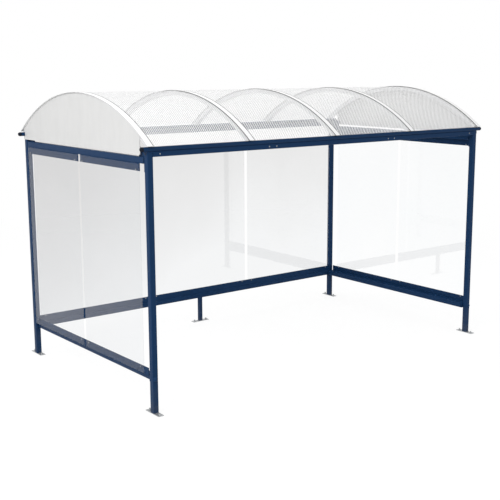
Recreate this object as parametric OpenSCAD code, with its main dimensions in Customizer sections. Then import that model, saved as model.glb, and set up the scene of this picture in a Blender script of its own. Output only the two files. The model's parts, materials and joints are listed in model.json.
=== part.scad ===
// Open-fronted bike shelter: a bolted frame of square steel tube, clear side and
// rear panels, and a barrel roof of thin curved sheets held by cover strips.
// X runs along the shelter, Y from the open front (-Y) to the rear, Z up.
// The origin is on the ground, in the middle of the shelter.

/* [Frame] */
// Length over the corner posts
length = 3900; // [2900:50:4900]
// Depth over the corner posts
depth = 2180; // [1700:20:2700]
// Height of the corner posts
post_h = 2116; // [1900:10:2400]
// Side of the square corner posts
post_w = 50; // [40:5:60]
// Side of the short leg under the rear rail
leg_w = 40; // [30:5:50]
// Wall of the square tubes
tube_wall = 3; // [2:0.5:5]
// Outside corner radius of the square tubes
tube_corner = 6; // [4:0.5:8]

/* [Rails] */
// Side of the square rails
rail_w = 50; // [40:5:60]
// Clear height under the bottom rails
rail_clear = 265; // [150:5:400]
// Distance of the end top rails below the post tops
top_rail_drop = 48; // [40:2:80]
// Distance of the end bottom rails behind the posts' outer faces
rail_inset = 25; // [5:1:35]
// Height of the panel fixing strips on the rails
flange_h = 62; // [40:1:80]
// Thickness of the panel fixing strips
flange_t = 5; // [3:1:8]
// Distance of the rear strips' outer faces behind the posts' outer faces
rear_flange_inset = 36; // [10:1:40]
// Thickness of the end plates of the end rails
end_plate_t = 12; // [5:1:15]
// Length of the top rails' end plates below the rail
end_plate_drop = 65; // [40:5:80]

/* [Eaves] */
// Height of the front and rear beams
beam_h = 44; // [30:5:60]
// Diameter of the round eave tubes
eave_d = 36; // [30:1:48]
// Distance from the post's outer face out to the eave tube's centre line
eave_out = -5; // [-15:1:0]
// Length of the eave tubes past the corner posts
eave_over = 38; // [20:1:80]
// How far the end caps stand out round the eave tubes
cap_lip = 0.5; // [0:0.5:5]
// Length of the cap's collar outside the tube
cap_collar = 9; // [5:1:20]
// Length of the cap's plug inside the tube
cap_plug = 30; // [15:5:40]
// Clearance between plug and tube
plug_gap = 0.25; // [0.1:0.05:0.5]
// Width of the corner brackets beside the posts
bracket_w = 110; // [40:5:130]
// Thickness of the corner brackets
bracket_t = 8; // [5:1:12]

/* [Roof] */
// Rise of the roof from its lower edges to the crown
roof_rise = 386; // [340:5:450]
// Height of the roof's lower edges above the post tops
roof_edge = 44; // [40:1:60]
// Distance of the roof's lower edges outside the posts
roof_over = 35; // [25:5:60]
// Width of the arches
arch_w = 50; // [40:5:60]
// Depth of the arches
arch_d = 35; // [25:5:45]
// Wall of the arches
arch_wall = 3; // [2:0.5:4]
// Thickness of the roof sheets
sheet_t = 6; // [4:1:10]
// Gap between neighbouring roof sheets
sheet_gap = 6; // [4:1:12]
// Width of the cover strips
strip_w = 50; // [40:2:80]
// Thickness of the cover strips
strip_t = 4; // [2:1:6]
// Distance of the end strips past the gable sheets
strip_over = 15; // [5:1:20]

/* [Gables] */
// Thickness of the gable sheets
gable_t = 4; // [3:1:6]
// Gap between the gable sheet and the end top rail
gable_gap = 18; // [10:1:25]
// Distance of the gable sheet's short end from the post beside it
gable_back = 55; // [40:5:90]
// Clearance around the eave tube where it passes the gable sheet
gable_clear = 2; // [1:0.5:5]

/* [Clear panels] */
// Thickness of the clear panels
panel_t = 6; // [4:1:8]
// Gap between neighbouring panels
panel_gap = 40; // [20:5:60]
// Wider gap of an end wall, between a post and the panel beside it
panel_wide_gap = 74; // [50:1:100]
// Narrower gap of an end wall, between a post and the panel beside it
panel_narrow_gap = 28; // [20:1:60]
// Gap between the rear posts and the rear panels beside them
panel_rear = 15; // [10:5:40]
// Gap between the panels and the rails above and below
panel_rail = 3; // [2:1:8]

/* [Feet] */
// Length of the base plates
plate_l = 200; // [150:10:250]
// Width of the base plates
plate_w = 50; // [50:5:80]
// Thickness of the base plates
plate_t = 6; // [5:1:12]
// Distance between the two bolt holes of a base plate
plate_pitch = 150; // [130:10:200]
// Diameter of the bolt holes
plate_hole = 12; // [10:1:16]

/* [Post caps] */
// Diameter of the domed caps on the posts
dome_d = 44; // [30:2:50]
// Height of the domed caps
dome_h = 16; // [5:1:20]

/* [Hidden] */
$fn = 48;
// How far joined parts of one piece run into each other
lap = 1;
// Number of roof bays: the nodes name the arches, sheets and strips of four
bays = 4;
half_x = length/2;
half_y = depth/2;
rail_bottom = rail_clear + rail_w;
top_rail_z = post_h - top_rail_drop;
top_rail_bottom = top_rail_z - rail_w;
beam_z = post_h - beam_h;
eave_y = half_y + eave_out;
eave_z = post_h + eave_d/2;
eave_half = half_x + eave_over;
cap_d = eave_d + 2*cap_lip;
roof_half = half_y + roof_over;
crown_h = post_h + roof_edge + roof_rise;
roof_r = (roof_half*roof_half + roof_rise*roof_rise)/(2*roof_rise);
roof_z = crown_h - roof_r;
sheet_r = roof_r - strip_t;
arch_r = sheet_r - sheet_t;
arch_reach = eave_y + eave_d/4;
roof_angle = asin(roof_half/roof_r);
bay = (length - arch_w)/bays;
gable_low = top_rail_z + gable_gap;
panel_low = rail_bottom + panel_rail;
panel_high = top_rail_bottom - panel_rail;
rear_panel_high = beam_z - panel_rail;
rail_inner = rail_inset + rail_w;
side_start = half_y - post_w - panel_wide_gap;
side_end = half_y - post_w - panel_narrow_gap;
end_strip_end = half_y - post_w - end_plate_t;
side_panel = (side_start + side_end - panel_gap)/2;
rear_run = length - 2*post_w - 2*panel_rear;
rear_panel = (rear_run - 2*panel_gap)/3;
rear_strip = length - 2*post_w;
steel_blue = [0.09, 0.17, 0.33];
zinc = [0.66, 0.67, 0.68];
opal = [0.93, 0.94, 0.94];
clear = [0.80, 0.85, 0.88, 0.35];
rubber = [0.06, 0.06, 0.07];
white = [0.95, 0.95, 0.95];

// ---- shared shapes ----

// A filled square with rounded corners, centred.
module soft_square(w, d, r) {
  square([w - 2*r, d], center = true);
  square([w, d - 2*r], center = true);
  for (x = [-1, 1])
    for (y = [-1, 1])
      translate([x*(w/2 - r), y*(d/2 - r)]) circle(r);
}

// The wall of a rectangular tube, centred.
module tube_section(w, d) {
  difference() {
    soft_square(w, d, tube_corner);
    soft_square(w - 2*tube_wall, d - 2*tube_wall, tube_corner - tube_wall);
  }
}

// A tube standing on z = 0.
module tube_up(w, d, h) {
  linear_extrude(h) tube_section(w, d);
}

// A tube along Y, centred on the origin.
module tube_along_y(w, h, len) {
  rotate([90, 0, 0])
    linear_extrude(len, center = true) tube_section(w, h);
}

// A tube along X, centred on the origin.
module tube_along_x(d, h, len) {
  rotate([90, 0, 90])
    linear_extrude(len, center = true) tube_section(d, h);
}

// Both ends of the shelter are the same. This turns a shape drawn for the left end
// round, half a circle about the upright axis, to the end named by side.
module at_end(side) {
  rotate([0, 0, side < 0 ? 0 : 180]) children();
}

// ---- feet and posts ----

module base_plate(along_x = false) {
  color(zinc)
    rotate([0, 0, along_x ? 0 : 90])
      difference() {
        translate([-plate_l/2, -plate_w/2, 0]) cube([plate_l, plate_w, plate_t]);
        for (s = [-1, 1])
          translate([s*plate_pitch/2, 0, -lap])
            cylinder(d = plate_hole, h = plate_t + 2*lap);
      }
}

module corner_place(sx, sy) {
  translate([sx*(half_x - post_w/2), sy*(half_y - post_w/2), 0]) children();
}

// A corner post with the lid that closes its top.
module corner_post() {
  color(steel_blue) {
    translate([0, 0, plate_t]) tube_up(post_w, post_w, post_h - plate_t);
    translate([0, 0, post_h - tube_wall])
      linear_extrude(tube_wall) soft_square(post_w, post_w, tube_corner);
  }
}

module rear_leg() {
  color(steel_blue)
    translate([0, half_y - rail_w/2, plate_t])
      tube_up(leg_w, leg_w, rail_clear - plate_t);
}

// ---- rails and beams ----

// The tube stands back from the posts' outer faces, so the fixing strip is an angle that
// runs from end plate to end plate: one leg lies on the tube and the other stands flush
// with the posts.
module bottom_rail_end(side) {
  run = depth - 2*post_w;
  color(steel_blue) at_end(side) {
    translate([-half_x + rail_inset + rail_w/2, 0, rail_clear + rail_w/2])
      tube_along_y(rail_w, rail_w, run - 2*end_plate_t + 2*lap);
    for (leg = [[flange_t, flange_h], [rail_inset + rail_w/2, flange_t]])
      translate([-half_x, -end_strip_end, rail_bottom - lap])
        cube([leg[0], 2*end_strip_end, leg[1]]);
    for (s = [-1, 1])
      translate([-half_x + tube_corner, s*(run - end_plate_t)/2 - end_plate_t/2, rail_clear])
        cube([rail_inner - 2*tube_corner, end_plate_t, rail_w]);
  }
}

// Each panel hangs on a strip of its own. The second strip runs on past its panel to
// the rail's end plate.
module top_rail_end(side) {
  run = depth - 2*post_w;
  second = -side_start + side_panel + panel_gap;
  color(steel_blue) at_end(side) {
    translate([-half_x + rail_w/2, 0, top_rail_z - rail_w/2])
      tube_along_y(rail_w, rail_w, run - 2*end_plate_t + 2*lap);
    for (strip = [[-side_start, side_panel], [second, end_strip_end - second]])
      translate([-half_x, strip[0], top_rail_bottom + lap - flange_h])
        cube([flange_t, strip[1], flange_h]);
    for (s = [-1, 1])
      translate([-half_x + tube_corner, s*(run - end_plate_t)/2 - end_plate_t/2,
                 top_rail_bottom - end_plate_drop])
        cube([rail_w - 2*tube_corner, end_plate_t, rail_w + end_plate_drop]);
  }
}

// The rear bottom rail. Where the rails are wider than the posts, its ends are
// notched to clear the end rails.
module bottom_rail_back() {
  color(steel_blue) {
    difference() {
      translate([0, half_y - rail_w/2, rail_clear + rail_w/2])
        tube_along_x(rail_w, rail_w, length - 2*post_w);
      for (s = [-1, 1])
        translate([s*(half_x - rail_inner/2), 0, rail_clear + rail_w/2])
          cube([rail_inner, depth - 2*post_w, rail_w], center = true);
    }
    translate([-rear_strip/2, half_y - rear_flange_inset - flange_t, rail_bottom - lap])
      cube([rear_strip, flange_t, flange_h]);
  }
}

module beam(side) {
  color(steel_blue)
    translate([0, side*(half_y - post_w/2), beam_z + beam_h/2])
      tube_along_x(post_w, beam_h, length - 2*post_w);
}

// ---- eaves ----

module eave_tube(side) {
  color(steel_blue)
    translate([0, side*eave_y, eave_z])
      rotate([0, 90, 0])
        difference() {
          cylinder(d = eave_d, h = 2*eave_half, center = true);
          cylinder(d = eave_d - 2*tube_wall, h = 2*(eave_half + lap), center = true);
        }
}

// The round space that an eave tube takes up, w long, at x = 0.
module eave_space(side, d, w) {
  translate([0, side*eave_y, eave_z])
    rotate([0, 90, 0]) cylinder(d = d, h = w, center = true);
}

// Domed end cap with its plug, drawn with the tube's end at z = 0.
module eave_cap() {
  plug_r = eave_d/2 - tube_wall - plug_gap;
  dome_r = cap_d/2;
  rotate_extrude()
    difference() {
      union() {
        square([dome_r, cap_collar]);
        translate([0, -cap_plug]) square([plug_r, cap_plug + lap]);
        translate([0, cap_collar]) circle(dome_r);
      }
      translate([-2*dome_r, -cap_plug]) square([2*dome_r, 2*cap_plug + 4*dome_r]);
      translate([plug_r, -cap_plug]) square([dome_r, cap_plug]);
    }
}

module eave_caps(side) {
  color(rubber)
    for (s = [-1, 1])
      translate([s*eave_half, side*eave_y, eave_z])
        rotate([0, s*90, 0]) eave_cap();
}

// Upright plates beside the posts, standing on the end top rails and reaching up to
// the middle of the eave tubes.
module corner_brackets() {
  color(steel_blue)
    for (sx = [-1, 1])
      for (sy = [-1, 1])
        translate([sx*(half_x - rail_w/2) - bracket_t/2,
                   sy*(half_y - post_w - bracket_w/2) - bracket_w/2, top_rail_z])
          cube([bracket_t, bracket_w, eave_z - top_rail_z]);
}

// Domed caps over the rail bolts, on the posts' outer faces.
module post_caps() {
  dome_r = (dome_d*dome_d/4 + dome_h*dome_h)/(2*dome_h);
  color(steel_blue)
    for (sx = [-1, 1])
      for (sy = [-1, 1])
        translate([sx*(half_x - post_w/2), sy*half_y, rail_clear + rail_w/2])
          rotate([-sy*90, 0, 0])
            intersection() {
              translate([0, 0, dome_h - dome_r]) sphere(dome_r);
              cylinder(d = dome_d, h = dome_h + lap);
            }
}

// ---- roof ----

// A curved bar of the roof: from radius r0 to r1, w wide, centred on x = 0.
module roof_arc(r0, r1, w) {
  translate([0, 0, roof_z])
    rotate([90, 0, 90])
      rotate([0, 0, 90 - roof_angle])
        rotate_extrude(angle = 2*roof_angle, $fn = 180)
          translate([r0, -w/2]) square([r1 - r0, w]);
}

function arch_x(i) = -half_x + arch_w/2 + i*bay;

module arch(i) {
  color(zinc) translate([arch_x(i), 0, 0])
    difference() {
      intersection() {
        roof_arc(arch_r - arch_d, arch_r, arch_w);
        translate([-arch_w, -arch_reach, 0]) cube([2*arch_w, 2*arch_reach, crown_h]);
      }
      roof_arc(arch_r - arch_d + arch_wall, arch_r - arch_wall, arch_w - 2*arch_wall);
      for (s = [-1, 1]) eave_space(s, eave_d, 2*arch_w);
    }
}

// A sheet over bay i. The end sheets run on to the gables.
module roof_sheet(i) {
  from = i == 0 ? -half_x : arch_x(i) + sheet_gap/2;
  to = i == bays - 1 ? half_x : arch_x(i + 1) - sheet_gap/2;
  color(opal)
    translate([(from + to)/2, 0, 0]) roof_arc(arch_r, sheet_r, to - from);
}

// The inner strips lie over the joints, the end strips over the gables' edges.
module cover_strip(i) {
  end_x = half_x + gable_t + strip_over - strip_w/2;
  x = i == 0 ? -end_x : i == bays ? end_x : arch_x(i);
  color(white) translate([x, 0, 0]) roof_arc(sheet_r, roof_r, strip_w);
}

// ---- walls ----

// Its long end is flush with a post, and its short end stands back from the other.
module gable(side) {
  short_end = half_y - post_w - gable_back;
  color(opal) at_end(side)
    translate([-half_x - gable_t/2, 0, 0])
      difference() {
        intersection() {
          translate([0, 0, roof_z])
            rotate([0, 90, 0])
              cylinder(r = sheet_r, h = gable_t, center = true, $fn = 180);
          translate([-gable_t, -short_end, gable_low])
            cube([2*gable_t, half_y + short_end, crown_h]);
        }
        eave_space(1, eave_d + 2*gable_clear, 2*gable_t);
      }
}

module side_panel_sheet(side, i) {
  color(clear) at_end(side)
    translate([-half_x - panel_t,
               -side_start + i*(side_panel + panel_gap), panel_low])
      cube([panel_t, side_panel, panel_high - panel_low]);
}

module rear_panel_sheet(i) {
  color(clear)
    translate([-rear_run/2 + i*(rear_panel + panel_gap), half_y - rear_flange_inset, panel_low])
      cube([rear_panel, panel_t, rear_panel_high - panel_low]);
}

// ---- every node ----

corner_place(-1, -1) base_plate();  // base_plate_front_left
corner_place(1, -1) base_plate();  // base_plate_front_right
corner_place(-1, 1) base_plate();  // base_plate_rear_left
corner_place(1, 1) base_plate();  // base_plate_rear_right
translate([0, half_y - rail_w/2, 0]) base_plate(along_x = true);  // base_plate_rear_middle
corner_place(-1, -1) corner_post();  // post_front_left
corner_place(1, -1) corner_post();  // post_front_right
corner_place(-1, 1) corner_post();  // post_rear_left
corner_place(1, 1) corner_post();  // post_rear_right
rear_leg();  // leg_rear_middle
bottom_rail_end(-1);  // bottom_rail_left
bottom_rail_end(1);  // bottom_rail_right
bottom_rail_back();  // bottom_rail_rear
top_rail_end(-1);  // top_rail_left
top_rail_end(1);  // top_rail_right
beam(-1);  // front_beam
beam(1);  // rear_beam
eave_tube(-1);  // eave_tube_front
eave_tube(1);  // eave_tube_rear
eave_caps(-1);  // eave_caps_front
eave_caps(1);  // eave_caps_rear
corner_brackets();
post_caps();
arch(0);  // arch_1
arch(1);  // arch_2
arch(2);  // arch_3
arch(3);  // arch_4
arch(4);  // arch_5
cover_strip(0);  // cover_strip_1
cover_strip(1);  // cover_strip_2
cover_strip(2);  // cover_strip_3
cover_strip(3);  // cover_strip_4
cover_strip(4);  // cover_strip_5
roof_sheet(0);  // roof_sheet_1
roof_sheet(1);  // roof_sheet_2
roof_sheet(2);  // roof_sheet_3
roof_sheet(3);  // roof_sheet_4
gable(-1);  // gable_left
gable(1);  // gable_right
side_panel_sheet(-1, 0);  // panel_left_front
side_panel_sheet(-1, 1);  // panel_left_rear
side_panel_sheet(1, 1);  // panel_right_front
side_panel_sheet(1, 0);  // panel_right_rear
rear_panel_sheet(0);  // panel_rear_left
rear_panel_sheet(1);  // panel_rear_middle
rear_panel_sheet(2);  // panel_rear_right
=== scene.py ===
# %% [markdown]
# # An open-fronted bike shelter
# The shelter is a bolted frame of blue steel tube, with clear panels on three sides and a barrel
# roof of thin curved sheets. Its solid parts come from a CAD model, packed as a fixed frame: each
# part is an object at the origin whose place is in its mesh, in metres, with Z up and the open
# front towards -Y. This lesson gives every part its finish and adds the small fixings.

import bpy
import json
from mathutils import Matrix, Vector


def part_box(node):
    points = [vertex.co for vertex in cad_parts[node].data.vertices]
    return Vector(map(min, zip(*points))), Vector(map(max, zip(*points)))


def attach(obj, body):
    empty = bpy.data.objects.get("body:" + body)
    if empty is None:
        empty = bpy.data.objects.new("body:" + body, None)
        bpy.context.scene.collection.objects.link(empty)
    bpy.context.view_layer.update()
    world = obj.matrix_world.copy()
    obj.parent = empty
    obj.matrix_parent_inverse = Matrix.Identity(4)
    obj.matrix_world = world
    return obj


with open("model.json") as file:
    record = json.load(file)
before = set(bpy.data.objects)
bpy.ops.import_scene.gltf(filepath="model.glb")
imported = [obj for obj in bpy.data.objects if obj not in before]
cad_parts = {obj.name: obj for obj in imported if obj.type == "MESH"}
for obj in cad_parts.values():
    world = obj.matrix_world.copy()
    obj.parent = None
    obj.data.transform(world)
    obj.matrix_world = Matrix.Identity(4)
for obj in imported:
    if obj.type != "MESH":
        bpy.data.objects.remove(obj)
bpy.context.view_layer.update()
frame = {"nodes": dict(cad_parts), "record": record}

import json
import math

import bpy
from mathutils import Vector

scene = bpy.context.scene
nodes = frame["nodes"]
MM = 0.001

# %% [markdown]
# ## The camera
# A shelter is best seen from a standing height, off the left front corner, where the open front
# and one end both show. The camera is turned about Z towards the shelter and tipped down a little.
# A lens longer than a normal one keeps the uprights nearly parallel.

# %% Camera
EYE = (-5.802, -7.364, 2.756)
EYE_DOWN = math.radians(10.92)
EYE_RIGHT = math.radians(38.885)
SENSOR_WIDTH = 36
LENS_LENGTH = 68.69
LENS_SHIFT = (-0.0408, 0.0011)

lens = bpy.data.cameras.new("camera")
lens.sensor_width = SENSOR_WIDTH
lens.lens = LENS_LENGTH
lens.shift_x, lens.shift_y = LENS_SHIFT
camera = bpy.data.objects.new("camera", lens)
camera.location = EYE
camera.rotation_euler = (math.pi/2 - EYE_DOWN, 0, -EYE_RIGHT)
scene.collection.objects.link(camera)
scene.camera = camera
print("camera", round(camera.location.length, 2), "m from the middle of the shelter's floor")

# %% [markdown]
# ## Building node trees in a script
# Shader trees and Geometry Nodes trees are built in the same way: make a node, set its options,
# and give each input a number or a link from another node. One helper does all of that, and two
# more cover sums and ramps, so each finish below reads as a short recipe instead of a page of
# links.

# %% Node helpers
def add_node(tree, kind, values=None, **options):
    """A new node. options are its settings; values are its inputs, numbers or other sockets."""
    made = tree.nodes.new(kind)
    for option, choice in options.items():
        setattr(made, option, choice)
    for label, value in (values or {}).items():
        if isinstance(value, bpy.types.NodeSocket):
            tree.links.new(value, made.inputs[label])
        else:
            made.inputs[label].default_value = value
    return made


def maths(tree, operation, *values):
    """The result of a Math node on up to three numbers or sockets."""
    numbered = dict(enumerate(values))
    return add_node(tree, "ShaderNodeMath", numbered, operation=operation).outputs[0]


def ramp(tree, value, start=0.0, end=1.0, low=0.0, high=1.0):
    """A number that goes from low to high as the value goes from start to end, and stops there."""
    return add_node(tree, "ShaderNodeMapRange",
                    {"Value": value, "From Min": start, "From Max": end,
                     "To Min": low, "To Max": high}).outputs[0]


print("node helpers: add_node, maths, ramp")

# %% [markdown]
# ## A plain studio
# A soft studio lights an object evenly and keeps the background white. If the white came from
# strong lamps, pale parts would burn out. So the world and the floor show white only to rays that
# look at them, directly, in a reflection or through glass, and they light the shelter less.

# %% World that looks white
WORLD_LIGHT = 0.50


def seen_directly(tree):
    """1 for rays from the camera, reflections and glass, 0 for the rays that carry light."""
    path = add_node(tree, "ShaderNodeLightPath").outputs
    either = maths(tree, "MAXIMUM", path["Is Camera Ray"], path["Is Glossy Ray"])
    return maths(tree, "MAXIMUM", either, path["Is Transmission Ray"])


world = bpy.data.worlds.new("studio")
world.use_nodes = True
sky = world.node_tree
backdrop = sky.nodes["Background"]
backdrop.inputs["Color"].default_value = (1, 1, 1, 1)
strength = ramp(sky, seen_directly(sky), low=WORLD_LIGHT)
sky.links.new(strength, backdrop.inputs["Strength"])
scene.world = world
print("world light", WORLD_LIGHT)

# %% [markdown]
# Near the shelter a small part of the floor's white is real light, so it darkens in the shadows.
# Further out the floor only glows, because the lamps don't reach there and it would turn grey. The
# floor lies half a millimetre under the feet, so that the two faces don't meet.

# %% Floor
FLOOR_HALF = 60
FLOOR_DROP = 0.5*MM
SHADOW_SHARE = 0.16
FLOOR_GLOW = 0.88
FLOOR_GREY = 0.62
SHADOWS_END = 4
GLOW_STARTS = 9

paper = bpy.data.materials.new("studio floor")
paper.use_nodes = True
paper.node_tree.nodes.clear()
tree = paper.node_tree
spot = add_node(tree, "ShaderNodeTexCoord").outputs["Object"]
away = add_node(tree, "ShaderNodeVectorMath", {0: spot}, operation="LENGTH").outputs["Value"]
far_out = ramp(tree, away, SHADOWS_END, GLOW_STARTS)
lit = add_node(tree, "ShaderNodeBsdfDiffuse", {"Color": (SHADOW_SHARE,)*3 + (1,)})
glow = add_node(tree, "ShaderNodeEmission", {"Strength": FLOOR_GLOW})
near = add_node(tree, "ShaderNodeAddShader", {0: lit.outputs[0], 1: glow.outputs[0]})
pure = add_node(tree, "ShaderNodeEmission", {"Strength": 1.0})
shown = add_node(tree, "ShaderNodeMixShader", {0: far_out, 1: near.outputs[0], 2: pure.outputs[0]})
plain = add_node(tree, "ShaderNodeBsdfDiffuse", {"Color": (FLOOR_GREY,)*3 + (1,)})
choice = add_node(tree, "ShaderNodeMixShader",
                  {0: seen_directly(tree), 1: plain.outputs[0], 2: shown.outputs[0]})
add_node(tree, "ShaderNodeOutputMaterial", {"Surface": choice.outputs[0]})

sheet = bpy.data.meshes.new("floor")
corners = [(x*FLOOR_HALF, y*FLOOR_HALF, -FLOOR_DROP)
           for x, y in ((-1, -1), (1, -1), (1, 1), (-1, 1))]
sheet.from_pydata(corners, [], [(0, 1, 2, 3)])
sheet.materials.append(paper)
floor = bpy.data.objects.new("floor", sheet)
scene.collection.objects.link(floor)
scene.view_settings.view_transform = "Standard"
print("floor", 2*FLOOR_HALF, "m wide")

# %% [markdown]
# ## Lamps
# Large lamps give soft shadows. The strongest stands to the left, so the left faces of the posts
# are lighter than the front ones and the frame reads as square tube. A weaker one opens up the
# front, and the third lights the roof from above.

# %% Lamps
SHELTER_MIDDLE = Vector((0, 0, 1.2))


def soft_lamp(name, place, size, power):
    """A square lamp that points at the middle of the shelter."""
    light = bpy.data.lights.new(name, "AREA")
    light.size = size
    light.energy = power
    lamp = bpy.data.objects.new(name, light)
    lamp.location = place
    lamp.rotation_euler = (SHELTER_MIDDLE - Vector(place)).to_track_quat("-Z", "Y").to_euler()
    scene.collection.objects.link(lamp)
    print("lamp", name, power, "W")


soft_lamp("left key", (-9, -3, 6.5), 6, 500)
soft_lamp("front fill", (1.5, -10, 6), 7, 150)
soft_lamp("top", (0, 1, 9), 7, 275)

# %% [markdown]
# ## Finishes
# Every finish starts from Blender's Principled shader. Its colour, roughness and bump come from
# noise read in Object coordinates, which on these parts are metres, so a scale of 100 gives a
# pattern about 10 mm across on every part, and it runs on from one part to the next.

# %% Helpers for finishes
def new_finish(name, **plain):
    """A material and its Principled shader, with the shader's own sockets set."""
    made = bpy.data.materials.new(name)
    made.use_nodes = True
    shader = made.node_tree.nodes["Principled BSDF"]
    for label, value in plain.items():
        shader.inputs[label.replace("_", " ")].default_value = value
    return made, made.node_tree, shader


def place_in(tree):
    """The point on the part, in metres."""
    return add_node(tree, "ShaderNodeTexCoord").outputs["Object"]


def noise(tree, scale, detail=2, stretch=(1, 1, 1)):
    """Smooth noise from 0 to 1. A stretch below 1 draws it out along that axis."""
    at = add_node(tree, "ShaderNodeMapping", {"Vector": place_in(tree), "Scale": stretch})
    return add_node(tree, "ShaderNodeTexNoise",
                    {"Vector": at.outputs[0], "Scale": scale, "Detail": detail}).outputs[0]


def between(tree, share, low, high):
    """A number that goes from low to high as the share goes from 0.3 to 0.7, where noise lies."""
    return ramp(tree, share, 0.3, 0.7, low, high)


def tint(tree, share, first, second):
    """A colour between two, each of them three numbers or a socket."""
    ends = [end if isinstance(end, bpy.types.NodeSocket) else end + (1,) for end in (first, second)]
    return add_node(tree, "ShaderNodeMix", {0: share, 6: ends[0], 7: ends[1]},
                    data_type="RGBA").outputs[2]


def bump(tree, shader, height, strength, depth):
    """Raises the surface by up to depth, in metres."""
    raised = add_node(tree, "ShaderNodeBump",
                      {"Strength": strength, "Distance": depth, "Height": height})
    tree.links.new(raised.outputs[0], shader.inputs["Normal"])


print("finish helpers: new_finish, place_in, noise, between, tint, bump")

# %% [markdown]
# ### Blue powder coat
# The tubes are sprayed with dry powder and baked, which leaves a satin skin with a fine
# orange-peel texture. The skin is thinnest and most rubbed along edges, and the lowest part of it
# picks up splashed dust. The Bevel node gives a rounded normal, and where that differs from the
# true one there is an edge.

# %% Blue powder coat
WORN_EDGE = 3*MM
SPLASH_HEIGHT = 0.3


def edges_of(tree, width):
    """1 along sharp edges, 0 on flat faces."""
    rounded = add_node(tree, "ShaderNodeBevel", {"Radius": width}, samples=4)
    flat = add_node(tree, "ShaderNodeNewGeometry")
    match = add_node(tree, "ShaderNodeVectorMath",
                     {0: rounded.outputs[0], 1: flat.outputs["Normal"]}, operation="DOT_PRODUCT")
    return ramp(tree, match.outputs["Value"], 0.98, 0.80)


def near_ground(tree, height):
    """1 on the ground, fading to 0 at the height."""
    z = add_node(tree, "ShaderNodeSeparateXYZ", {0: place_in(tree)}).outputs["Z"]
    return ramp(tree, z, height, 0.0)


def make_powder_coat():
    made, tree, shader = new_finish("blue powder coat", Specular_IOR_Level=0.08)
    batch = tint(tree, noise(tree, 2.5, 3), (0.0080, 0.034, 0.096), (0.0100, 0.043, 0.120))
    rubbed = maths(tree, "MULTIPLY", edges_of(tree, WORN_EDGE),
                   between(tree, noise(tree, 40), 0.0, 0.5))
    worn = tint(tree, rubbed, batch, (0.03, 0.07, 0.15))
    dust = maths(tree, "MULTIPLY", near_ground(tree, SPLASH_HEIGHT),
                 between(tree, noise(tree, 12, 4), 0.0, 0.3))
    tree.links.new(tint(tree, dust, worn, (0.16, 0.15, 0.13)), shader.inputs["Base Color"])
    tree.links.new(between(tree, noise(tree, 18, 3), 0.34, 0.48), shader.inputs["Roughness"])
    bump(tree, shader, noise(tree, 700), 0.35, 0.25*MM)
    return made


powder_coat = make_powder_coat()
print("finish", powder_coat.name)

# %% [markdown]
# ### Galvanised steel
# The feet are dipped in molten zinc, which freezes in flat crystals a few millimetres across.
# Voronoi cells give each crystal its own grey and its own gloss, and noise dulls them in patches.

# %% Galvanised steel
def make_zinc():
    made, tree, shader = new_finish("galvanised steel", Metallic=0.85)
    crystal = add_node(tree, "ShaderNodeTexVoronoi", {"Vector": place_in(tree), "Scale": 130})
    facet = add_node(tree, "ShaderNodeSeparateColor", {0: crystal.outputs["Color"]}).outputs[0]
    dull = maths(tree, "MULTIPLY_ADD", noise(tree, 20, 4), 0.6, maths(tree, "MULTIPLY", facet, 0.4))
    tree.links.new(tint(tree, dull, (0.34, 0.35, 0.36), (0.58, 0.59, 0.60)),
                   shader.inputs["Base Color"])
    tree.links.new(between(tree, dull, 0.35, 0.62), shader.inputs["Roughness"])
    bump(tree, shader, dull, 0.3, 0.2*MM)
    return made


zinc = make_zinc()
print("finish", zinc.name)

# %% [markdown]
# ### Black plastic
# The eave tubes are closed with moulded polyethylene caps. Moulded plastic is nearly even, with a
# fine grain from the mould and a little bloom where the sun has dried it out.

# %% Black plastic
def make_black_plastic():
    made, tree, shader = new_finish("black plastic", Specular_IOR_Level=0.12)
    tree.links.new(tint(tree, noise(tree, 30, 4), (0.004, 0.006, 0.012), (0.010, 0.014, 0.026)),
                   shader.inputs["Base Color"])
    tree.links.new(between(tree, noise(tree, 60), 0.42, 0.6), shader.inputs["Roughness"])
    bump(tree, shader, noise(tree, 1500), 0.3, 0.1*MM)
    return made


black_plastic = make_black_plastic()
print("finish", black_plastic.name)

# %% [markdown]
# ### The roof's curve
# Sheets, arches and cover strips share one axis, so a finish that follows them needs that axis
# and the radius. Both come from one part's mesh: with the half span out to its outer edge, and the
# rise from that edge to the crown, the radius is (half span^2 + rise^2) / (2 x rise).

# %% Measure the roof
def roof_curve(name):
    """The radius of a roof part's outer face, the height of its axis and its half angle."""
    points = nodes[name].data.vertices
    crown = max(point.co.z for point in points)
    edge = max((point.co for point in points), key=lambda place: place.y)
    rise = crown - edge.z
    radius = (edge.y**2 + rise**2)/(2*rise)
    return radius, crown - radius, math.asin(edge.y/radius)


strip_radius, roof_axis, roof_half_angle = roof_curve("cover_strip_3")
sheet_radius = roof_curve("roof_sheet_2")[0]
print("roof radius", round(strip_radius, 3), "m, axis", round(roof_axis, 3), "m above the ground")


def roof_point(tree):
    """The point's place along the shelter, across it and above the roof's axis, in metres."""
    spot = add_node(tree, "ShaderNodeSeparateXYZ", {0: place_in(tree)}).outputs
    return spot["X"], spot["Y"], maths(tree, "SUBTRACT", spot["Z"], roof_axis)


def along_roof(tree):
    """The point's place on the unrolled roof: X along the shelter, Y round the curve, in metres."""
    along, across, above = roof_point(tree)
    angle = maths(tree, "ARCTAN2", across, above)
    return along, maths(tree, "MULTIPLY", angle, sheet_radius)


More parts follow.
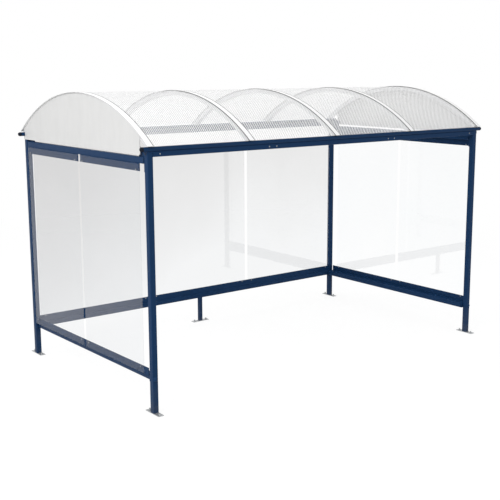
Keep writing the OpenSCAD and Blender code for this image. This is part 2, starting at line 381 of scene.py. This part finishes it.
def lines_round_roof(tree, stretch, scale, detail):
    """Noise drawn out along the unrolled curve. A small stretch makes long lines."""
    along, round_roof = along_roof(tree)
    drawn_out = add_node(tree, "ShaderNodeCombineXYZ",
                         {0: along, 1: maths(tree, "MULTIPLY", round_roof, stretch)}).outputs[0]
    return add_node(tree, "ShaderNodeTexNoise",
                    {"Vector": drawn_out, "Scale": scale, "Detail": detail}).outputs[0]


# %% [markdown]
# ### Aluminium arches
# The arches are bare extruded aluminium, rolled to the roof's curve. Extruding draws fine lines
# along the bar, so the noise is drawn out along the unrolled curve.

# %% Aluminium arches
def make_arch_metal():
    made, tree, shader = new_finish("mill aluminium", Metallic=0.4)
    lines = lines_round_roof(tree, 0.02, 300, 3)
    cloud = maths(tree, "MULTIPLY_ADD", noise(tree, 6, 3), 0.5, maths(tree, "MULTIPLY", lines, 0.5))
    tree.links.new(tint(tree, cloud, (0.72, 0.72, 0.73), (0.84, 0.84, 0.85)),
                   shader.inputs["Base Color"])
    tree.links.new(between(tree, cloud, 0.32, 0.5), shader.inputs["Roughness"])
    bump(tree, shader, lines, 0.2, 0.1*MM)
    return made


arch_metal = make_arch_metal()
print("finish", arch_metal.name)

# %% [markdown]
# ### Cover strips
# The strips over the joints are aluminium painted white on the coil, smooth and slightly glossy,
# with rain dirt gathering in faint streaks that run down the curve.

# %% White cover strips
def make_strip_paint():
    made, tree, shader = new_finish("white strip paint")
    streaks = lines_round_roof(tree, 0.08, 60, 4)
    tree.links.new(tint(tree, streaks, (0.86, 0.86, 0.86), (0.81, 0.81, 0.81)),
                   shader.inputs["Base Color"])
    tree.links.new(between(tree, noise(tree, 25, 3), 0.3, 0.42), shader.inputs["Roughness"])
    bump(tree, shader, noise(tree, 400), 0.15, 0.1*MM)
    return made


strip_paint = make_strip_paint()
print("finish", strip_paint.name)

# %% [markdown]
# ### Dotted roof sheets
# The sheets are clear plastic printed with staggered white dots, which shade the bikes and still
# let daylight in. Modelling tens of thousands of dots would be heavy, and they have no thickness,
# so they are a pattern. Turning a square grid by an eighth of a circle staggers its rows. The dots
# are opaque and lie on the outer face only, with a thin white haze between them. A point counts as
# on the outer face when it is almost as far from the roof's axis as that face.

# %% Dotted roof sheets
DOT_PITCH = 20*MM
DOT_SIZE = 10.4*MM
HAZE = 0.12
INNER_HAZE = 0.02
OUTER_SKIN = 2*MM


def dots(tree, pitch, size):
    """1 inside staggered dots, 0 between them, with a soft edge of a tenth of the dot."""
    along, round_roof = along_roof(tree)
    first = maths(tree, "DIVIDE", maths(tree, "ADD", along, round_roof), pitch)
    second = maths(tree, "DIVIDE", maths(tree, "SUBTRACT", along, round_roof), pitch)
    off = [maths(tree, "SUBTRACT", maths(tree, "FRACT", way), 0.5) for way in (first, second)]
    corner = add_node(tree, "ShaderNodeCombineXYZ", {0: off[0], 1: off[1]})
    far = add_node(tree, "ShaderNodeVectorMath", {0: corner.outputs[0]}, operation="LENGTH")
    reach = size/2*math.sqrt(2)/pitch
    return ramp(tree, far.outputs["Value"], 1.1*reach, 0.9*reach)


def make_dotted_sheet():
    made, tree, shader = new_finish("dotted roof sheet", IOR=1.5)
    printed = dots(tree, DOT_PITCH, DOT_SIZE)
    tree.links.new(tint(tree, noise(tree, 8, 4), (0.95, 0.95, 0.95), (0.91, 0.91, 0.91)),
                   shader.inputs["Base Color"])
    across, above = roof_point(tree)[1:]
    squared = maths(tree, "MULTIPLY_ADD", across, across, maths(tree, "MULTIPLY", above, above))
    outside = maths(tree, "GREATER_THAN", squared, (sheet_radius - OUTER_SKIN)**2)
    film = ramp(tree, printed, low=HAZE)
    tree.links.new(ramp(tree, outside, low=INNER_HAZE, high=film), shader.inputs["Alpha"])
    tree.links.new(between(tree, noise(tree, 15, 3), 0.28, 0.42), shader.inputs["Roughness"])
    bump(tree, shader, printed, 0.1, 0.1*MM)
    return made


dotted_sheet = make_dotted_sheet()
print("finish", dotted_sheet.name, "covers", round(math.pi*DOT_SIZE**2/2/DOT_PITCH**2, 2))

# %% [markdown]
# ### Gable sheets
# The ends are closed under the roof by opaque off-white plastic sheets, with a faint upright
# mottle from extrusion and rain.

# %% Gable sheets
def make_gable_sheet():
    made, tree, shader = new_finish("gable sheet")
    mottle = noise(tree, 14, 4, stretch=(1, 1, 0.25))
    tree.links.new(tint(tree, mottle, (0.78, 0.78, 0.775), (0.70, 0.70, 0.695)),
                   shader.inputs["Base Color"])
    tree.links.new(between(tree, noise(tree, 10, 3), 0.32, 0.48), shader.inputs["Roughness"])
    bump(tree, shader, noise(tree, 220), 0.15, 0.15*MM)
    return made


gable_sheet = make_gable_sheet()
print("finish", gable_sheet.name)

# %% [markdown]
# ### Clear panels
# The walls are thin clear sheets that mirror the frame faintly. The end walls are nearly clear. The
# rear wall carries a grey tint of painted shade, greyest at its upper left, which clears along it
# and down it. A point counts as on the rear wall when it lies behind the end walls. A sheet this
# thin doesn't bend what is seen through it, so a tinted Transparent shader is enough, and it lets
# the lamps through.
# Fresnel mixes in a mirror, duller towards the left end. Inside the sheet its index is turned over,
# so that both faces mirror alike.

# %% Clear panels
PANEL_INDEX = 1.585
IN_FRONT_OF_REAR = 10*MM
# The rear wall's painted shade is greyest at the first of these heights and gone at the second.
SHADE_TOP_HEIGHT = 2.0
SHADE_FOOT_HEIGHT = 0.4
SHARE_ALONG = 0.45
SHARE_DOWN = 0.75
SMEARS = 0.08

rear_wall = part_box("panel_rear_left")[0].y - IN_FRONT_OF_REAR
# The rear wall's painted shade fades from its left end to the right end of its middle panel.
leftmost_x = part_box("panel_rear_left")[0].x
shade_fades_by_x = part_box("panel_rear_middle")[1].x


def make_clear_panel():
    made, tree, shader = new_finish("clear panel", Metallic=1.0)
    spot = add_node(tree, "ShaderNodeSeparateXYZ", {0: place_in(tree)}).outputs
    along = ramp(tree, spot["X"], leftmost_x, shade_fades_by_x, high=SHARE_ALONG)
    down = ramp(tree, spot["Z"], SHADE_TOP_HEIGHT, SHADE_FOOT_HEIGHT, high=SHARE_DOWN)
    smears = noise(tree, 1.2, 3)
    share = maths(tree, "ADD", maths(tree, "ADD", along, down),
                  between(tree, smears, -SMEARS, SMEARS))
    # Painted shade: a grey tint on the rear wall, greyest at its upper left, fading along it and
    # down it.
    painted_shade = tint(tree, share, (0.856, 0.850, 0.846), (0.956, 0.960, 0.962))
    fresh = tint(tree, between(tree, smears, 0.0, 1.0),
                 (0.984, 0.990, 0.992), (0.994, 0.996, 0.997))
    at_rear = maths(tree, "GREATER_THAN", spot["Y"], rear_wall)
    colour = tint(tree, at_rear, fresh, painted_shade)
    # The mirror's colour is made darker towards the left end.
    duller_to_left = ramp(tree, spot["X"], leftmost_x, -leftmost_x)
    tree.links.new(tint(tree, duller_to_left, (0.64, 0.64, 0.66), (0.98, 0.98, 0.99)),
                   shader.inputs["Base Color"])
    tree.links.new(between(tree, noise(tree, 3, 4), 0.01, 0.04), shader.inputs["Roughness"])
    bump(tree, shader, noise(tree, 1.5), 0.05, 1*MM)
    behind = add_node(tree, "ShaderNodeNewGeometry").outputs["Backfacing"]
    turn_over = maths(tree, "MULTIPLY_ADD", behind, -2.0, 1.0)
    index = maths(tree, "POWER", PANEL_INDEX, turn_over)
    mirror = add_node(tree, "ShaderNodeFresnel", {"IOR": index}).outputs[0]
    passing = add_node(tree, "ShaderNodeBsdfTransparent", {"Color": colour})
    mixed = add_node(tree, "ShaderNodeMixShader",
                     {0: mirror, 1: passing.outputs[0], 2: shader.outputs[0]})
    tree.links.new(mixed.outputs[0], tree.nodes["Material Output"].inputs["Surface"])
    return made


clear_panel = make_clear_panel()
print("finish", clear_panel.name)

# %% [markdown]
# ## Every part gets its finish
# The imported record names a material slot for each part, so the finishes are handed out by slot.
# The meshes stay as they are: only the material in each object's slots changes.

# %% Hand out the finishes
FINISHES = {
    "galvanised_steel": zinc,
    "blue_powder_coat": powder_coat,
    "black_caps": black_plastic,
    "arch_metal": arch_metal,
    "cover_strip": strip_paint,
    "roof_sheet": dotted_sheet,
    "gable_sheet": gable_sheet,
    "clear_panel": clear_panel,
}


for entry in frame["record"]["subparts"]:
    skin = nodes[entry["node"]].data.materials
    skin.clear()
    skin.append(FINISHES[entry["material_slot"]])
print(len(nodes), "parts finished")

# %% [markdown]
# ## Fixings grown on points
# Screws, bolts and gaskets repeat, which suits Geometry Nodes: a tree builds one of them from named
# sizes and puts a copy on every point of a small mesh. Each point carries the turn of its fixing.
# The result is then made a plain mesh, because a live modifier can't ride on the frame.

# %% Trees and points
def new_tree(name, sizes):
    """A Geometry Nodes tree with a named input for each size."""
    made = bpy.data.node_groups.new(name, "GeometryNodeTree")
    sockets = made.interface
    sockets.new_socket("Geometry", in_out="INPUT", socket_type="NodeSocketGeometry")
    for label, value in sizes.items():
        socket = sockets.new_socket(label, in_out="INPUT", socket_type="NodeSocketFloat")
        socket.default_value = value
    sockets.new_socket("Geometry", in_out="OUTPUT", socket_type="NodeSocketGeometry")
    return made, made.nodes.new("NodeGroupInput").outputs


def close_tree(tree, geometry, finish):
    """Ends a tree in Realize Instances, flat shading and Set Material."""
    real = add_node(tree, "GeometryNodeRealizeInstances", {0: geometry}).outputs[0]
    flat = add_node(tree, "GeometryNodeSetShadeSmooth", {0: real, "Shade Smooth": False}).outputs[0]
    done = add_node(tree, "GeometryNodeSetMaterial", {"Geometry": flat, "Material": finish})
    add_node(tree, "NodeGroupOutput", {0: done.outputs[0]})


def points_mesh(name, places):
    """Loose points, each with the turn of what stands on it. places holds (place, turn) pairs."""
    mesh = bpy.data.meshes.new(name)
    mesh.from_pydata([place for place, turn in places], [], [])
    turns = mesh.attributes.new("turn", "FLOAT_VECTOR", "POINT")
    for index, (place, turn) in enumerate(places):
        turns.data[index].vector = turn
    return mesh


def grow(name, mesh, tree, sizes=None):
    """Runs the tree on the mesh and keeps the result as a plain piece of the shelter."""
    start = bpy.data.objects.new(name + "_points", mesh)
    scene.collection.objects.link(start)
    growing = start.modifiers.new("grow", "NODES")
    growing.node_group = tree
    for item in tree.interface.items_tree:
        if item.in_out == "INPUT" and item.name in (sizes or {}):
            growing[item.identifier] = sizes[item.name]
    graph = bpy.context.evaluated_depsgraph_get()
    result = bpy.data.meshes.new_from_object(start.evaluated_get(graph), depsgraph=graph)
    bpy.data.objects.remove(start)
    piece = bpy.data.objects.new(name, result)
    scene.collection.objects.link(piece)
    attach(piece, "root")
    print(name, len(result.vertices), "vertices,", len(result.polygons), "faces")


# %% [markdown]
# ### Anchor bolts
# Each foot is held to the ground by two expansion anchors: a stud through the plate, a washer and
# a hexagon nut. The tree stacks a washer, a nut with six sides and a stud, all standing on z = 0,
# and instances the stack on the points above the plates' holes. The nuts are turned from plate to
# plate, because nobody tightens them all to the same angle.

# %% Anchor bolts
WASHER_SIDES = 20
NUT_SIDES = 6
STUD_SIDES = 10
HOLE_PITCH_SHARE = 0.75
TURN_PER_PLATE = 0.7


def bar(tree, sides, width, height, low):
    """A prism of so many sides that stands on z = low. width is across its corners."""
    shape = add_node(tree, "GeometryNodeMeshCylinder",
                     {"Vertices": sides, "Radius": maths(tree, "MULTIPLY", width, 0.5),
                      "Depth": height})
    middle = maths(tree, "MULTIPLY_ADD", height, 0.5, low)
    shift = add_node(tree, "ShaderNodeCombineXYZ", {2: middle}).outputs[0]
    return add_node(tree, "GeometryNodeTransform",
                    {"Geometry": shape.outputs[0], "Translation": shift}).outputs[0]


def put_on_points(tree, points, shapes):
    """One instance of the joined shapes on each point, turned as the point says."""
    joined = tree.nodes.new("GeometryNodeJoinGeometry")
    for shape in shapes:
        tree.links.new(shape, joined.inputs[0])
    turn = add_node(tree, "GeometryNodeInputNamedAttribute", {"Name": "turn"},
                    data_type="FLOAT_VECTOR")
    turned = add_node(tree, "FunctionNodeEulerToRotation", {0: turn.outputs[0]})
    return add_node(tree, "GeometryNodeInstanceOnPoints",
                    {"Points": points, "Instance": joined.outputs[0],
                     "Rotation": turned.outputs[0]}).outputs[0]


def make_bolt_tree(name, sizes):
    """A washer, a nut or a head on it, and a stud through both, all of zinc-coated steel."""
    tree, given = new_tree(name, sizes)
    washer = bar(tree, WASHER_SIDES, given["Washer width"], given["Washer height"], 0.0)
    nut = bar(tree, NUT_SIDES, given["Nut width"], given["Nut height"], given["Washer height"])
    stud = bar(tree, STUD_SIDES, given["Stud width"], given["Stud height"], 0.0)
    close_tree(tree, put_on_points(tree, given["Geometry"], (washer, nut, stud)), zinc)
    return tree


anchor_tree = make_bolt_tree("anchor bolt", {
    "Washer width": 24*MM, "Washer height": 2*MM, "Nut width": 19*MM, "Nut height": 8*MM,
    "Stud width": 10*MM, "Stud height": 18*MM})


def holes_of(plate):
    """The centres of a foot plate's two bolt holes, on its upper face."""
    low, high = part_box(plate)
    middle = (low + high)/2
    long_way = Vector((1, 0, 0)) if high.x - low.x > high.y - low.y else Vector((0, 1, 0))
    pitch = HOLE_PITCH_SHARE*(high - low).dot(long_way)
    return [Vector((middle.x, middle.y, high.z)) + long_way*side*pitch/2 for side in (-1, 1)]


plates = [name for name in nodes if name.startswith("base_plate")]
anchors = [(hole, (0, 0, index*TURN_PER_PLATE))
           for index, plate in enumerate(plates) for hole in holes_of(plate)]
grow("anchor_bolts", points_mesh("anchors", anchors), anchor_tree)

# %% [markdown]
# ### Panel screws
# The clear panels hang on the fixing strips by a small screw near each corner, with a washer
# under its head outside and a nut inside. Their places are worked out from each panel's box. The
# rear panels have screws at their feet only, because nothing holds them at the top.

# %% Panel screws
FROM_PANEL_EDGE = 46*MM
FROM_STRIP_EDGE = 10*MM
STRIP_BACK = 5*MM
TO_LEFT = (0, -math.pi/2, 0)
TO_RIGHT = (0, math.pi/2, 0)
TO_FRONT = (math.pi/2, 0, 0)
TO_REAR = (-math.pi/2, 0, 0)

screw_tree = make_bolt_tree("panel screw", {
    "Washer width": 12*MM, "Washer height": 1*MM, "Nut width": 9*MM, "Nut height": 3*MM,
    "Stud width": 4*MM, "Stud height": 6*MM})

strip_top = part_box("bottom_rail_left")[1].z
panel_low, panel_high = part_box("panel_left_front")
strip_height = strip_top - panel_low.z
screw_low = strip_top - FROM_STRIP_EDGE
screw_high = panel_high.z - strip_height + FROM_STRIP_EDGE
screws = []
for end, outward, inward in (("left", TO_LEFT, TO_RIGHT), ("right", TO_RIGHT, TO_LEFT)):
    for half in ("front", "rear"):
        low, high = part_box("panel_%s_%s" % (end, half))
        if end == "left":
            outer, inner = low.x, high.x + STRIP_BACK
        else:
            outer, inner = high.x, low.x - STRIP_BACK
        for y in (low.y + FROM_PANEL_EDGE, high.y - FROM_PANEL_EDGE):
            for z in (screw_low, screw_high):
                screws.append((Vector((outer, y, z)), outward))
                screws.append((Vector((inner, y, z)), inward))
for part in ("left", "middle", "right"):
    low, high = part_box("panel_rear_" + part)
    for x in (low.x + FROM_PANEL_EDGE, high.x - FROM_PANEL_EDGE):
        screws.append((Vector((x, high.y, screw_low)), TO_REAR))
        screws.append((Vector((x, low.y - STRIP_BACK, screw_low)), TO_FRONT))
grow("panel_screws", points_mesh("screws", screws), screw_tree)

# %% [markdown]
# ### Beam screws
# A few small screws hold the beams: one beside each end arch, and a pair on the inner side of the
# second arch and of the fourth. They show as tiny bright heads along the front and the rear.

# %% Beam screws
BESIDE_END_ARCH = 88*MM
BESIDE_INNER_ARCH = (210*MM, 290*MM)

beam_screw_tree = make_bolt_tree("beam screw", {
    "Washer width": 11*MM, "Washer height": 1*MM, "Nut width": 8*MM, "Nut height": 3*MM,
    "Stud width": 4*MM, "Stud height": 4*MM})
beam_low, beam_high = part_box("front_beam")
beam_middle = (beam_low.z + beam_high.z)/2
inner_arch = sum(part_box("arch_4"), Vector()).x/2
end_arch = sum(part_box("arch_5"), Vector()).x/2
screw_places = [end_arch - BESIDE_END_ARCH] + [inner_arch - gap for gap in BESIDE_INNER_ARCH]
beam_screws = []
for face, turn in ((beam_low.y, TO_FRONT), (-beam_low.y, TO_REAR)):
    for x in screw_places:
        beam_screws += [(Vector((side*x, face, beam_middle)), turn) for side in (-1, 1)]
grow("beam_screws", points_mesh("beam_screws", beam_screws), beam_screw_tree)

# %% [markdown]
# ### Gaskets beside the cover strips
# A dark rubber gasket seals each long edge of a cover strip and shows as a thin line that follows
# the roof. On the strip's right-hand side it is drawn wider, and the extra width is painted shadow,
# the shadow that the raised strip casts there. The end strips, which cap the gables, have one on
# their inner edge only. The tree draws an arc with the strip's radius and angle, sweeps a small
# rectangle along it, and puts a copy on each point.

# %% Gaskets
LEFT_GASKET = 4*MM
# The right-hand lip is wider than the left. The extra width is painted shadow cast by the strip.
RIGHT_GASKET_AND_SHADOW = 6*MM
GASKET_HEIGHT = 3.5*MM
ARC_POINTS = 97


# The rubber's dark colour also fills the painted shadow beside each strip's right-hand gasket.
def make_rubber():
    made, tree, shader = new_finish("gasket rubber and painted shadow", Specular_IOR_Level=0.25)
    tree.links.new(tint(tree, noise(tree, 25, 4), (0.035, 0.035, 0.037), (0.075, 0.075, 0.078)),
                   shader.inputs["Base Color"])
    tree.links.new(between(tree, noise(tree, 50), 0.55, 0.75), shader.inputs["Roughness"])
    bump(tree, shader, noise(tree, 900), 0.3, 0.15*MM)
    return made


def make_gasket_tree(finish):
    """An arc of the roof's radius with a small rectangle swept along it."""
    tree, given = new_tree("roof gasket", {
        "Radius": strip_radius, "Half angle": roof_half_angle, "Width": RIGHT_GASKET_AND_SHADOW,
        "Height": GASKET_HEIGHT})
    middle = maths(tree, "MULTIPLY_ADD", given["Height"], -0.5, given["Radius"])
    start = maths(tree, "SUBTRACT", math.pi/2, given["Half angle"])
    sweep = maths(tree, "MULTIPLY", given["Half angle"], 2)
    arc = add_node(tree, "GeometryNodeCurveArc",
                   {"Resolution": ARC_POINTS, "Radius": middle, "Start Angle": start,
                    "Sweep Angle": sweep}, mode="RADIUS")
    section = add_node(tree, "GeometryNodeCurvePrimitiveQuadrilateral",
                       {"Width": given["Height"], "Height": given["Width"]})
    swept = add_node(tree, "GeometryNodeCurveToMesh",
                     {"Curve": arc.outputs[0], "Profile Curve": section.outputs[0],
                      "Fill Caps": True})
    upright = add_node(tree, "GeometryNodeTransform",
                       {"Geometry": swept.outputs[0], "Rotation": (math.pi/2, 0, math.pi/2)})
    close_tree(tree, put_on_points(tree, given["Geometry"], (upright.outputs[0],)), finish)
    return tree


rubber = make_rubber()
gasket_tree = make_gasket_tree(rubber)
strips = [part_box(name) for name in nodes if name.startswith("cover_strip")]
rightmost = max(high.x for low, high in strips)
left_edges = [low.x - LEFT_GASKET/2 for low, high in strips if low.x > -rightmost + MM]
# The right-hand gaskets are part rubber and part painted shadow.
right_edges = [high.x + RIGHT_GASKET_AND_SHADOW/2 for low, high in strips if high.x < rightmost - MM]
for name, edges, width in (("left_gaskets", left_edges, LEFT_GASKET),
                           ("right_gaskets_and_painted_shadow", right_edges, RIGHT_GASKET_AND_SHADOW)):
    places = [(Vector((x, 0, roof_axis)), (0, 0, 0)) for x in edges]
    grow(name, points_mesh(name, places), gasket_tree, {"Width": width})

# %% [markdown]
# A seal also lies under the outer edge of each end sheet, against the arch. The gable hides it
# except past the gable's short end, where it shows as a thin dark line. It is the same tree with a
# smaller radius.

# %% End seals
SEAL_WIDTH = 3*MM
SEAL_HEIGHT = 3*MM

arch_radius = roof_curve("arch_3")[0]
arch_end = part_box("arch_5")[1].x
seals = [(Vector((side*(arch_end + SEAL_WIDTH/2), 0, roof_axis)), (0, 0, 0)) for side in (-1, 1)]
grow("end_seals", points_mesh("seals", seals), gasket_tree,
     {"Width": SEAL_WIDTH, "Height": SEAL_HEIGHT, "Radius": arch_radius + SEAL_HEIGHT/2})
